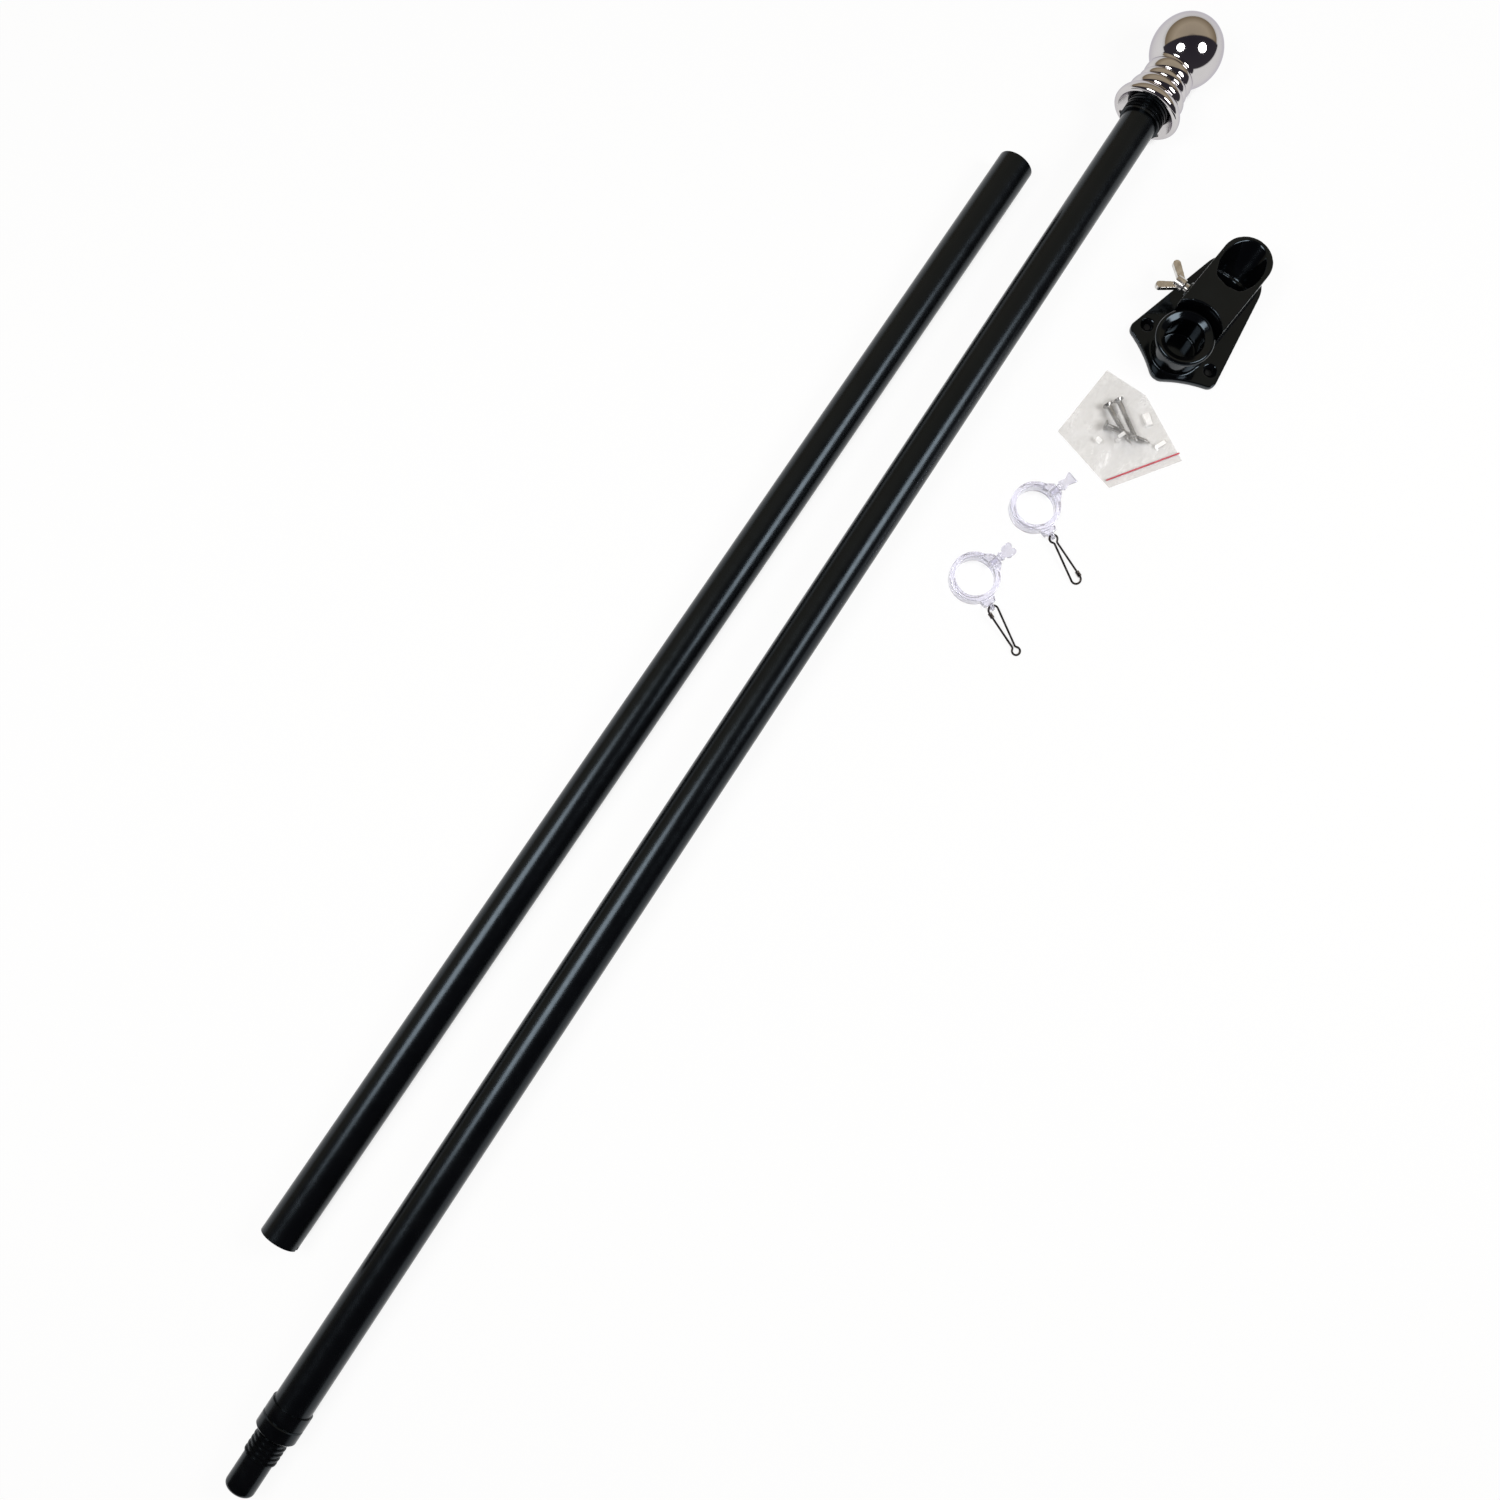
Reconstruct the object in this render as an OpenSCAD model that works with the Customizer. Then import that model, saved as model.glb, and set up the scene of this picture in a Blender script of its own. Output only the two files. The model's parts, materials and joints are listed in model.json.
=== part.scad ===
// Wall flagpole kit laid out on a level surface, in millimetres.
// +X runs along the pole sections towards the finial, +Z is up, and the surface is Z = 0.

/* [Pole tubes] */
// Outside diameter of both pole tubes
tube_d = 25.4; // [24:0.1:26]
// Wall of both pole tubes
tube_wall = 1.6; // [1.2:0.1:2]
// Length of the lower section
lower_len = 849; // [600:1:890]
// Length of the upper tube, from its collar to its end inside the finial
upper_len = 1004.2; // [800:0.1:1030]
// Width of the drain notch in the foot of the lower section
notch_w = 4; // [2:0.5:6]
// Depth of the drain notch
notch_depth = 3; // [2:0.5:6]

/* [Joint plug] */
// Diameter of the collar that the lower section butts against
collar_d = 27.4; // [26.6:0.1:30]
// Length of the collar
collar_len = 18; // [10:0.5:24]
// Depth of the groove round the middle of the collar
collar_groove = 0.8; // [0.4:0.1:1.2]
// Diameter of the smooth spigot
spigot_d = 19.4; // [17:0.1:20.4]
// Length of the spigot past the collar
spigot_len = 38; // [30:0.5:50]
// Rounding of the spigot's tip
spigot_round = 3; // [1:0.5:5]
// Length of the ribbed stretch next to the collar
ribbed_len = 16; // [8:0.5:24]
// Number of ribs on the spigot
rib_count = 5; // [3:1:8]
// Length of the shank that sits in the upper tube
shank_len = 32; // [20:1:50]

/* [Finial] */
// Diameter of the ball
ball_d = 49.6; // [44:0.2:54]
// Diameter of the bottom flange
flange_d = 48; // [42:0.2:49]
// Thickness of the flange's round rim
flange_t = 5; // [4:0.2:7]
// Radius of the shoulder over the flange's rim
shoulder_r = 8; // [7:0.2:9]
// Height from the flange's lower face to the wide bead
wide_bead_at = 10.2; // [9.6:0.1:10.6]
// Diameter of the wide bead over the flange
wide_bead_d = 40.4; // [39:0.2:42]
// Height of the wide bead
wide_bead_t = 8.8; // [8:0.1:9.2]
// Bulge of the wide bead
wide_bead_crown = 3.2; // [2:0.1:4]
// Diameter of the thin bead between the other two
thin_bead_d = 36; // [35:0.2:37]
// Height of the thin bead
thin_bead_t = 6; // [5:0.1:6.4]
// Bulge of the thin bead
thin_bead_crown = 1.6; // [1:0.1:2]
// Diameter of the narrow bead under the ball
narrow_bead_d = 35.2; // [34:0.2:36]
// Height of the narrow bead
narrow_bead_t = 9; // [8:0.1:9.4]
// Bulge of the narrow bead
narrow_bead_crown = 1.8; // [1:0.1:2]
// Diameter of the neck between the beads and the ball
neck_d = 31.6; // [30:0.2:32]
// Height of each groove between the beads
neck_t = 0.5; // [0.3:0.1:0.8]
// Height from the flange's lower face to the middle of the ball
ball_rise = 56; // [52:0.5:60]
// Outside diameter of the bushing between tube and finial
bushing_d = 29; // [28:0.1:30.4]
// Length of bushing that shows under the flange
bushing_show = 7.5; // [4:0.5:10]
// Number of ribs round the part of the bushing that shows
bushing_rib_count = 5; // [3:1:7]
// Depth of the grooves between those ribs
bushing_groove = 0.7; // [0.4:0.1:0.9]
// Diameter of the cup under the flange, at its rim
cup_d = 41; // [38:0.2:41.4]
// Diameter of the cup's floor
cup_floor_d = 33; // [31:0.2:34]
// Depth of the cup
cup_depth = 5.6; // [4:0.1:6]
// Depth of the bushing's seat below the flange's rim
socket_depth = 10.4; // [9.6:0.1:10.8]

/* [Bracket plate] */
// Thickness of the plate
plate_t = 4.5; // [3.5:0.1:6]
// Half the spacing of the two foot corners' roundings
foot_half_w = 29.5; // [27:0.5:33]
// Radius of the foot corners
foot_r = 5.5; // [4:0.1:7]
// Distance of the foot corners' centres along the plate
foot_x = 3.5; // [2:0.5:6]
// Radius of the plate's round top end
top_r = 22; // [20:0.5:25]
// Distance of the top end's centre along the plate
top_x = 68; // [64:0.5:72]
// Radius of the rounded point between the feet
point_r = 9; // [7:0.2:11]
// Distance of the rounded point's centre along the plate
point_x = -8.5; // [-10:0.1:-7]
// Radius of the hollow edges between the point and the feet
scallop_r = 90; // [60:1:120]
// Diameter of the two mounting holes
hole_d = 5.2; // [4.6:0.1:5.6]
// Diameter of the countersinks
sink_d = 9.6; // [8.6:0.2:10.6]
// Spacing of the two mounting holes in the feet
hole_spacing = 52.4; // [50:0.2:55]
// Distance of the foot holes along the plate
hole_x = 9; // [8:0.5:11]

/* [Bracket sockets] */
// Diameter of both sockets
socket_d = 26.2; // [26:0.1:26.6]
// Distance of the straight socket along the plate
straight_x = 6; // [5:0.5:7]
// Outside diameter of the straight socket's wall
straight_d = 34; // [32:0.5:35]
// Outside diameter of its lip
lip_d = 40; // [38:0.5:42]
// Height of the lip's bead
lip_t = 5; // [4:0.5:6]
// Height of the straight socket
socket_h = 27; // [26:0.5:28]
// Thickness of the straight socket's floor
floor_t = 4; // [3:0.2:4.4]
// Depth of the funnel at the straight socket's mouth
lead_in = 2.6; // [2:0.1:3]
// Width of the funnel round the mouth
funnel_w = 5; // [4:0.1:5.4]
// Half the width of the boss round the angled socket
boss_half_w = 17.6; // [17.2:0.1:18.4]
// Distance of the boss's far end along the plate
boss_end_x = 88.7; // [86:0.1:90]
// Height of the boss at its far end
boss_end_h = 32.5; // [31:0.5:34]
// Height of the boss at the straight socket
boss_h = 37; // [36:0.5:38]
// Diameter of the hollow in the boss round the lip
clear_d = 42.6; // [42.2:0.2:43.6]
// Angle of the angled socket over the plate
angle_b = 42; // [40:0.5:44]
// Distance of the angled mouth's centre along the plate
mouth_x = 66.2; // [65:0.2:67]
// Height of the angled mouth's centre
mouth_z = 34; // [33.5:0.1:34.5]
// Depth of the angled socket below its mouth's centre
angled_depth = 31.5; // [30:0.5:32]
// Depth of the wider mouth below the mouth's centre
mouth_depth = 13; // [11:0.5:15]
// Diameter of the wider mouth
mouth_d = 29; // [27.8:0.2:29.4]

/* [Wing screw] */
// Diameter of the wing screw's shank
wing_shank_d = 6; // [5:0.1:7]
// Distance of the wing screw along the plate
wing_x = 37; // [36.5:0.5:38]
// Height of the wing screw
wing_z = 21; // [20:0.5:22]
// Diameter of the pad that the wing screw enters
pad_d = 11; // [9.6:0.2:12]
// Height of the pad over the boss's side
pad_t = 1.8; // [1:0.1:3]
// Length of bare shank between the pad and the hub
wing_gap = 3; // [2:0.2:5]
// Diameter of the hub
hub_d = 9; // [7.6:0.2:11]
// Length of the hub
hub_len = 7; // [5:0.2:9]
// Distance between the tips of the wings
wing_span = 26; // [20:0.5:30]
// Width of each wing
wing_w = 5.4; // [4.4:0.1:6]
// Reach of the wings past the hub
wing_reach = 9; // [6:0.5:12]
// Thickness of the wings
wing_t = 3.4; // [2.6:0.1:4]
// Turn of the wings about the screw, from flat
wing_turn = 5; // [0:1:90]

/* [Flag rings] */
// Inside diameter of the rings
ring_id = 26.2; // [26:0.1:28]
// Wall of the rings
ring_wall = 3.7; // [3:0.1:4.5]
// Height of the rings
ring_h = 10; // [9.6:0.2:14]
// Diameter of the thumbscrew's shank
thumb_d = 4.8; // [4:0.1:5.4]
// Width of the neck that the thumbscrew enters
thumb_boss_d = 8; // [7:0.2:9.4]
// Height of that neck over the ring
thumb_boss_t = 3; // [2:0.2:4]
// Bare shank between the neck and the thumbscrew's head
thumb_gap = 4; // [2:0.5:6]
// Length of the thumbscrew's paddle head
paddle_len = 10; // [8:0.5:13]
// Width of the paddle head
paddle_w = 9.4; // [8:0.2:9.6]
// Thickness of the paddle's edge
paddle_t = 2.8; // [2:0.1:3.4]
// Turn from the hook's lug to the thumbscrew
thumb_turn = 100; // [80:1:120]
// Thickness of the lug that holds the hook
lug_t = 2.4; // [2:0.1:2.6]
// Radius of the lug's round end
lug_r = 3.4; // [3:0.1:3.6]
// Distance of the lug's hole from the ring's wall
lug_reach = 5; // [4.4:0.1:5.6]
// Width of the lug's block at the ring
lug_base_w = 10.6; // [9:0.2:12]
// Width of the block next to the hook
lug_end_w = 8; // [6:0.2:9]
// Diameter of the lug's hole
lug_hole_d = 3.6; // [3.2:0.1:4]

/* [Snap hooks] */
// Diameter of the hook's wire
wire_d = 1.5; // [1.3:0.1:1.6]
// Length of the hook between the middles of its end bends
hook_len = 36.5; // [32:0.5:44]
// Radius of the small eye, to the wire's middle
eye_r = 2.7; // [2.6:0.1:3]
// Radius of the wide end, to the wire's middle
wide_r = 3.3; // [3.1:0.1:4]
// Radius of the bends at the neck
neck_bend_r = 2; // [1.5:0.1:3]
// Angle at which the eye gives way to the neck
neck_angle = 40; // [35:1:48]
// Diameter of the latch's sleeve
latch_d = 2.8; // [2.4:0.1:3.2]
// Length of the latch's sleeve
latch_len = 4; // [3:0.2:6]

/* [Screw bag] */
// Length of the bag's zip edge
bag_w = 53.4; // [48:0.2:60]
// Length of the bag from the zip edge to its furthest corner
bag_len = 77.4; // [72:0.2:84]
// Thickness of each film
film_t = 0.3; // [0.2:0.05:0.4]
// Height of the front film over the screws
crown_h = 12.4; // [12:0.2:15]
// Distance of the zip line from the open edge
zip_x = 5; // [4:0.2:6]
// Width of the zip line
zip_w = 1.4; // [1:0.1:2]
// Height of the zip line over the film
zip_h = 0.9; // [0.6:0.1:1.2]
// Length of the mounting screws
screw_len = 34; // [30:0.5:36]
// Diameter of their shanks
screw_d = 3.8; // [3.2:0.1:4.2]
// Diameter of their heads
screw_head_d = 7.2; // [6.4:0.1:7.6]

/* [Layout] */
// Place of the lower section's foot
lower_at = [-437.6, 96.3]; // [-600:0.1:600]
// Place of the upper tube's collar end
upper_at = [-509.5, 32.4]; // [-600:0.1:600]
// Turn of the upper section from the lower one
upper_turn = 0.47; // [0:0.01:0.6]
// Place of the bracket
bracket_at = [354.6, -64.6]; // [-600:0.1:600]
// Turn of the bracket
bracket_turn = -5.5; // [-12:0.5:4]
// Place of the first ring
ring_a_at = [213.5, -43.3]; // [-600:0.1:600]
// Place of the second ring
ring_b_at = [150.4, -35.5]; // [-600:0.1:600]
// Turn of both rings' lugs
ring_turn = -117.5; // [-125:0.5:-110]
// Place of the bag's zip corner
bag_at = [254.6, -77.7]; // [-600:0.1:600]
// Turn of the bag's zip edge
bag_turn = -35.6; // [-40:0.5:-30]

/* [Hidden] */
$fn = 64;
// Facets round the hook's wire, and steps along its bends
wire_sides = 10;
eye_steps = 14;
neck_steps = 6;
wide_steps = 10;

// Running over of every cut past the faces that it opens
over = 1;
// Clearance of pieces that are pushed together
push_clear = 0.1;
// Clearance of the spigot's ribs in the lower section's bore
rib_clear = 0.3;
// Clearance of pieces that turn in one another
turn_clear = 0.1;
// Clearance of pieces that lie loose on one another
lie_clear = 0.15;

tube_r = tube_d / 2;
tube_bore_r = tube_r - tube_wall;
collar_r = collar_d / 2;
spigot_r = spigot_d / 2;
rib_r = tube_bore_r - rib_clear;
rib_pitch = ribbed_len / rib_count;
ball_r = ball_d / 2;
flange_at = upper_len - socket_depth + 2 * push_clear;
ball_at = flange_at + ball_rise;
// The collar's edge and the ball carry the upper section, which tilts it
upper_tilt = asin((ball_r - collar_r) / (ball_at + collar_len));
upper_z = collar_r + collar_len * sin(upper_tilt);

socket_r = socket_d / 2;
angled_dir = [cos(angle_b), 0, sin(angle_b)];
wing_shank_r = wing_shank_d / 2;
pad_y = boss_half_w + pad_t;
hub_y = pad_y + wing_gap;

ring_r = ring_id / 2 + ring_wall;
lug_x = ring_r + lug_reach;
thumb_face = ring_r + thumb_boss_t;
head_at = thumb_face + thumb_gap;
wire_r = wire_d / 2;
// Each hook slopes from its lug's hole to the surface, where its latch or its far end lies
latch_drop = asin((ring_h - latch_d) / 2 / (hook_len - wide_r));
end_drop = asin((ring_h / 2 - wire_r) / hook_len);

// Corners of the bag, of the pillow in its film and of the pillow's crown, along and across the zip edge
bag_shares = [[0, 0], [1, 0], [0.92, 0.66], [0.59, 1], [-0.31, 0.635]];
pillow_shares = [[0.05, 0.12], [0.95, 0.12], [0.87, 0.65], [0.58, 0.95], [-0.23, 0.62]];
crown_shares = [[0.2, 0.18], [0.76, 0.18], [0.68, 0.72], [0.52, 0.8], [0.2, 0.68]];
// Outline of the thumbscrew's head that draws in at its middle, along and half across it
bow_shares = [[0, -0.8], [0.45, -0.52], [1, -0.94], [1, 0.94], [0.45, 0.52], [0, 0.8]];
// Places of the screws' heads in the bag, on the same shares
screw_shares = [[0.54, 0.7], [0.39, 0.69], [0.25, 0.53]];
screw_turns = [-93, -88, -43];
// The first two screws lie over the third, which lies on the film
screw_tilts = [8, 10.3, -3.1];

function scaled(shares) = [for (s = shares) [s.x * bag_w, s.y * bag_len]];
function polar(r, a) = [r * cos(a), r * sin(a)];
// Angle of the outer tangent's normal between two circles, the first at c1 with radius r1
function tangent_angle(c1, r1, c2, r2) =
    let (d = c2 - c1) atan2(d.y, d.x) + acos((r1 - r2) / norm(d));
// Place at the distances r1 and r2 from two places, on the right of the way from c1 to c2
function touching(c1, r1, c2, r2) =
    let (d = c2 - c1, n = norm(d), a = (r1 * r1 - r2 * r2 + n * n) / (2 * n), h = sqrt(r1 * r1 - a * a))
    c1 + a * d / n + h * [d.y, -d.x] / n;
function arc(c, r, a0, a1, steps) = [for (i = [0:steps]) c + polar(r, a0 + (a1 - a0) * i / steps)];
function mirrored(points) = [for (i = [len(points) - 1:-1:0]) [points[i].x, -points[i].y]];

// Axis of the upper section, with the collar's end at its origin
module along_upper(from = 0) {
    translate([upper_at.x, upper_at.y, upper_z])
        rotate([0, -upper_tilt, upper_turn])
            translate([from, 0, 0])
                rotate([0, 90, 0])
                    children();
}

module on_bracket() {
    translate([bracket_at.x, bracket_at.y, 0])
        rotate(bracket_turn)
            children();
}

module on_ring(at) {
    translate([at.x, at.y, 0])
        rotate(ring_turn)
            children();
}

module in_bag() {
    translate([bag_at.x, bag_at.y, 0])
        rotate(bag_turn)
            children();
}

module tube(length) {
    difference() {
        cylinder(r = tube_r, h = length);
        translate([0, 0, -over])
            cylinder(r = tube_bore_r, h = length + 2 * over);
    }
}

module lower_pole_tube() {
    color("#1c1c1e")
        translate([lower_at.x, lower_at.y, tube_r])
            rotate([0, 90, 0])
                difference() {
                    tube(lower_len);
                    translate([-notch_w / 2, -tube_d, -over])
                        cube([notch_w, tube_d, notch_depth + over]);
                }
}

module upper_pole_tube() {
    color("#1c1c1e")
        along_upper()
            tube(upper_len);
}

module joint_plug() {
    bevel = spigot_round / 3;
    groove_z = spigot_len + collar_len / 2;
    color("#141416")
        along_upper(-collar_len - spigot_len) {
            rotate_extrude()
                polygon(concat(
                    [[0, 0]],
                    arc([spigot_r - spigot_round, spigot_round], spigot_round, -90, 0, 6),
                    [[spigot_r, spigot_len], [collar_r - bevel, spigot_len], [collar_r, spigot_len + bevel],
                     [collar_r, groove_z - collar_groove], [collar_r - collar_groove, groove_z],
                     [collar_r, groove_z + collar_groove], [collar_r, spigot_len + collar_len], [tube_bore_r - push_clear, spigot_len + collar_len],
                     [tube_bore_r - push_clear, spigot_len + collar_len + shank_len - bevel],
                     [tube_bore_r - push_clear - bevel, spigot_len + collar_len + shank_len],
                     [0, spigot_len + collar_len + shank_len]]));
            // Ribs that grip the lower section's bore
            for (i = [0:rib_count - 1])
                translate([0, 0, spigot_len - (i + 1) * rib_pitch]) {
                    cylinder(r1 = spigot_r, r2 = rib_r, h = rib_pitch / 4);
                    translate([0, 0, rib_pitch / 4])
                        cylinder(r = rib_r, h = rib_pitch / 4);
                }
        }
}

// Half section of a turned bead whose rim bulges by its crown
module bead(d, t, crown) {
    bulge_r = (t * t / 4 + crown * crown) / (2 * crown);
    square([d / 2 - crown, t]);
    intersection() {
        translate([d / 2 - bulge_r, t / 2])
            circle(r = bulge_r);
        square([d / 2, t]);
    }
}

module finial() {
    thin_at = wide_bead_at + wide_bead_t + neck_t;
    color("#d8d8dc")
        along_upper(flange_at)
            difference() {
                rotate_extrude()
                    intersection() {
                        union() {
                            bead(flange_d, flange_t, flange_t / 2);
                            // Shoulder that runs from the rim's widest line up to the wide bead
                            intersection() {
                                translate([flange_d / 2 - shoulder_r, flange_t / 2])
                                    circle(r = shoulder_r);
                                translate([0, flange_t / 2])
                                    square([flange_d, ball_rise]);
                            }
                            translate([0, wide_bead_at])
                                bead(wide_bead_d, wide_bead_t, wide_bead_crown);
                            translate([0, thin_at])
                                bead(thin_bead_d, thin_bead_t, thin_bead_crown);
                            translate([0, thin_at + thin_bead_t + neck_t])
                                bead(narrow_bead_d, narrow_bead_t, narrow_bead_crown);
                            square([neck_d / 2, ball_rise]);
                            translate([0, ball_rise])
                                circle(d = ball_d);
                        }
                        square([ball_d, ball_rise + ball_d]);
                    }
                // Seat of the bushing, in the floor of the cup
                translate([0, 0, -over])
                    cylinder(d = bushing_d + 2 * push_clear, h = socket_depth + over);
                rotate_extrude()
                    polygon([[0, -over], [cup_d / 2, -over], [cup_d / 2, 0], [cup_floor_d / 2, cup_depth],
                             [0, cup_depth]]);
            }
}

module finial_bushing() {
    shown_len = bushing_show + cup_depth;
    pitch = shown_len / bushing_rib_count;
    color("#101012")
        along_upper(flange_at - bushing_show)
            difference() {
                union() {
                    cylinder(d = bushing_d - 2 * bushing_groove, h = shown_len);
                    for (i = [0:bushing_rib_count - 1])
                        translate([0, 0, i * pitch])
                            cylinder(d = bushing_d, h = pitch / 2);
                    translate([0, 0, shown_len])
                        cylinder(d = bushing_d, h = socket_depth - cup_depth - push_clear);
                }
                translate([0, 0, -over])
                    cylinder(r = tube_r + push_clear, h = bushing_show + socket_depth + 2 * over);
            }
}

// Outline of the bracket's plate, with a round top end, rounded feet and hollow edges to the point between them
module plate_outline() {
    foot = [foot_x, foot_half_w];
    top = [top_x, 0];
    point = [point_x, 0];
    side = tangent_angle(foot, foot_r, top, top_r);
    hollow = touching(foot, foot_r + scallop_r, point, point_r + scallop_r);
    to_foot = foot - hollow;
    to_point = point - hollow;
    foot_a = atan2(to_foot.y, to_foot.x);
    point_a = atan2(to_point.y, to_point.x);
    half = concat(arc(top, top_r, 0, side, 24),
                  arc(foot, foot_r, side, 180 + foot_a, 14),
                  arc(hollow, scallop_r, foot_a, point_a, 16),
                  arc(point, point_r, 180 + point_a, 180, 6));
    polygon(concat(half, mirrored(half)));
}

// Side view of the boss, whose top falls from the straight socket to its far end
module boss_side() {
    polygon([[straight_x, 0], [boss_end_x, 0], [boss_end_x, boss_end_h], [straight_x, boss_h]]);
}

module boss() {
    difference() {
        intersection() {
            linear_extrude(boss_h)
                union() {
                    translate([boss_end_x - boss_half_w, 0])
                        circle(boss_half_w);
                    translate([straight_x, -boss_half_w])
                        square([boss_end_x - boss_half_w - straight_x, 2 * boss_half_w]);
                }
            translate([0, boss_half_w + over, 0])
                rotate([90, 0, 0])
                    linear_extrude(2 * (boss_half_w + over))
                        boss_side();
        }
        translate([straight_x, 0, socket_h - 1.5 * lip_t])
            cylinder(d = clear_d, h = boss_h);
    }
}

module straight_wall() {
    translate([straight_x, 0, 0])
        rotate_extrude()
            union() {
                square([straight_d / 2, socket_h]);
                translate([0, socket_h - lip_t])
                    bead(lip_d, lip_t, lip_t / 2);
            }
}

module angled_cut(r, from, length) {
    translate([mouth_x, 0, mouth_z] + from * angled_dir)
        rotate([0, 90 - angle_b, 0])
            cylinder(r = r, h = length);
}

module screw_hole(x, y) {
    sink_t = (sink_d - hole_d) / 2;
    translate([x, y, -over])
        cylinder(d = hole_d, h = plate_t + 2 * over);
    translate([x, y, plate_t - sink_t])
        cylinder(d1 = hole_d, d2 = sink_d, h = sink_t);
}

module bracket_casting() {
    color("#0e0e10")
        on_bracket()
            difference() {
                union() {
                    linear_extrude(plate_t)
                        plate_outline();
                    boss();
                    straight_wall();
                    translate([wing_x, boss_half_w - over, wing_z])
                        rotate([-90, 0, 0])
                            cylinder(d = pad_d, h = pad_t + over);
                }
                translate([straight_x, 0, floor_t])
                    cylinder(r = socket_r, h = socket_h);
                translate([straight_x, 0, socket_h - lead_in])
                    cylinder(r1 = socket_r, r2 = socket_r + funnel_w, h = lead_in);
                angled_cut(socket_r, -angled_depth, angled_depth);
                angled_cut(mouth_d / 2, -mouth_depth, mouth_depth + angled_depth);
                translate([wing_x, socket_r * 2 / 3, wing_z])
                    rotate([-90, 0, 0])
                        cylinder(r = wing_shank_r + turn_clear, h = pad_y);
                for (side = [-1, 1])
                    screw_hole(hole_x, side * hole_spacing / 2);
            }
}

module wing(side) {
    tip = [side * (wing_span - wing_w) / 2, hub_len + wing_reach - wing_w / 2];
    linear_extrude(wing_t, center = true)
        hull() {
            translate([side * hub_d / 4, hub_len / 2])
                circle(hub_d / 4, $fn = 32);
            translate(tip)
                circle(d = wing_w, $fn = 32);
        }
}

module wing_screw() {
    tip_y = socket_r + turn_clear;
    color("#b9bbbf")
        on_bracket()
            translate([wing_x, 0, wing_z])
                rotate([0, wing_turn, 0]) {
                    translate([0, tip_y, 0])
                        rotate([-90, 0, 0])
                            cylinder(r = wing_shank_r, h = hub_y - tip_y);
                    translate([0, hub_y, 0])
                        rotate([-90, 0, 0])
                            cylinder(d = hub_d, h = hub_len);
                    for (side = [-1, 1])
                        translate([0, hub_y, 0])
                            wing(side);
                }
}

// Places a cylinder's axis across the ring at mid height, in the thumbscrew's direction
module along_thumb(from) {
    rotate(thumb_turn)
        translate([from, 0, ring_h / 2])
            rotate([0, 90, 0])
                children();
}

module flag_ring(at) {
    neck = [thumb_face, thumb_boss_d / 2];
    flank = atan2(neck.y, neck.x) + acos(ring_r / norm(neck));
    flank_r = ring_r - ring_wall / 4;
    block_x = lug_x - wire_r - 5 * turn_clear;
    block_h = 2 * lug_r - 5 * turn_clear;
    color("#e4e8ea")
        on_ring(at)
            difference() {
                union() {
                    cylinder(r = ring_r, h = ring_h);
                    // Walls that run from the ring into the thumbscrew's neck
                    rotate(thumb_turn)
                        translate([0, 0, (ring_h - thumb_boss_d) / 2])
                            linear_extrude(thumb_boss_d)
                                polygon([polar(flank_r, -flank), [neck.x, -neck.y], neck, polar(flank_r, flank)]);
                    // Block that narrows towards the lug
                    translate([0, 0, (ring_h - block_h) / 2])
                        linear_extrude(block_h)
                            polygon([[ring_r - ring_wall / 2, -lug_base_w / 2], [block_x, -lug_end_w / 2],
                                     [block_x, lug_end_w / 2], [ring_r - ring_wall / 2, lug_base_w / 2]]);
                    translate([ring_id / 2, -lug_t / 2, ring_h / 2 - lug_r])
                        cube([lug_x - ring_id / 2, lug_t, 2 * lug_r]);
                    translate([lug_x, lug_t / 2, ring_h / 2])
                        rotate([90, 0, 0])
                            cylinder(r = lug_r, h = lug_t);
                }
                translate([0, 0, -over])
                    cylinder(d = ring_id, h = ring_h + 2 * over);
                along_thumb(0)
                    cylinder(d = thumb_d + 2 * turn_clear, h = thumb_face + over);
                translate([lug_x, lug_t / 2 + over, ring_h / 2])
                    rotate([90, 0, 0])
                        cylinder(d = lug_hole_d, h = lug_t + 2 * over);
            }
}

module ring_a() {
    flag_ring(ring_a_at);
}

module ring_b() {
    flag_ring(ring_b_at);
}

module thumbscrew(at) {
    hub_t = thumb_gap / 2;
    color("#e4e8ea")
        on_ring(at) {
            along_thumb(ring_id / 2 + turn_clear)
                cylinder(d = thumb_d, h = head_at - ring_id / 2 - turn_clear);
            along_thumb(head_at - hub_t)
                cylinder(d1 = thumb_d, d2 = thumb_d + hub_t, h = hub_t);
            rotate(thumb_turn)
                translate([head_at, 0, (ring_h - paddle_t) / 2])
                    linear_extrude(paddle_t)
                        children();
        }
}

// Head with straight sides that draw in at the middle
module bow_head() {
    polygon([for (s = bow_shares) [s.x * paddle_len, s.y * paddle_w / 2]]);
}

// Head with two pairs of round lobes
module lobed_head() {
    lobe_d = paddle_w / 2;
    translate([0, -thumb_d / 2])
        square([paddle_len - lobe_d / 2, thumb_d]);
    for (x = [lobe_d, paddle_len - lobe_d / 2], side = [-1, 1])
        translate([x, side * lobe_d / 2])
            circle(d = lobe_d);
}

module ring_thumbscrew_a() {
    thumbscrew(ring_a_at)
        bow_head();
}

module ring_thumbscrew_b() {
    thumbscrew(ring_b_at)
        lobed_head();
}

// Middle line of one side of the hook's wire, from the small eye at x = 0 to the wide end
function hook_side() =
    let (eye = [eye_r, 0],
         bend = eye + polar(eye_r + neck_bend_r, neck_angle),
         wide = [hook_len - wide_r, 0],
         d = bend - wide,
         lean = asin((neck_bend_r + wide_r) / norm(d)) - atan2(d.y, -d.x))
    concat(arc(eye, eye_r, 180, neck_angle, eye_steps),
           arc(bend, neck_bend_r, 180 + neck_angle, 270 + lean, neck_steps),
           arc(wide, wide_r, 90 + lean, 0, wide_steps));

// The whole closed middle line
function hook_line() =
    let (half = hook_side(), n = len(half))
    concat(half, [for (i = [n - 2:-1:1]) [half[i].x, -half[i].y]]);

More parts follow.
